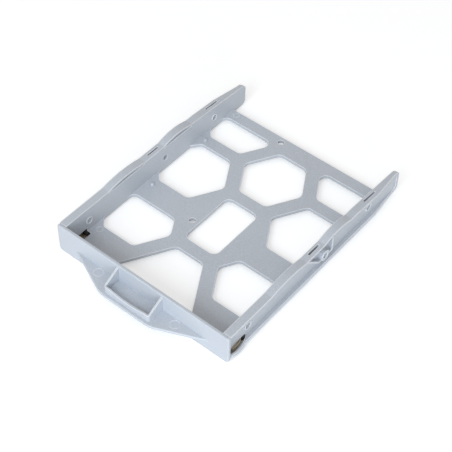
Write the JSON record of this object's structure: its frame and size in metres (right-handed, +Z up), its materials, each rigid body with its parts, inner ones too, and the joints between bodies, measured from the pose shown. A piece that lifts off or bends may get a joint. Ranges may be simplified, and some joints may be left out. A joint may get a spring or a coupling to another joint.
{
  "type": "hot swap drive caddy",
  "caption": "Open moulded tray with ventilated floor, C-shaped side rails with springy bows, a front panel with pull tongue and finger pocket, and a bent metal leaf spring in each rail.",
  "frame": {"origin": "bottom centre of the bounding box, under the middle of the floor at the level of the panel's bottom edge", "axes": "+X to the right seen from the front, +Y from the pull tongue to the connector end, +Z up"},
  "size_m": [0.1148, 0.16, 0.0211],
  "materials": {
    "moulded_plastic": "fine satin moulding texture, pale blue grey",
    "spring_metal": "warm bronze-tinted spring strip",
    "black_rubber": "plain black, slightly dusty"
  },
  "bodies": {
    "tray": {"tray": "moulded_plastic", "left_leaf_stop": "black_rubber", "right_leaf_stop": "black_rubber"},
    "left_leaf": {"left_leaf_spring": "spring_metal"},
    "right_leaf": {"right_leaf_spring": "spring_metal"}
  },
  "joints": [
    {"name": "left_leaf_flex", "type": "hinge", "parent": "tray", "child": "left_leaf", "pos_m": [-0.0539, -0.0663, 0.00405], "axis": [0, 0, -1], "range_deg": [0, 4], "stiffness_Nm_per_rad": 0.25},
    {"name": "right_leaf_flex", "type": "hinge", "parent": "tray", "child": "right_leaf", "pos_m": [0.0539, -0.0663, 0.00405], "axis": [0, 0, 1], "range_deg": [0, 4], "stiffness_Nm_per_rad": 0.25}
  ]
}
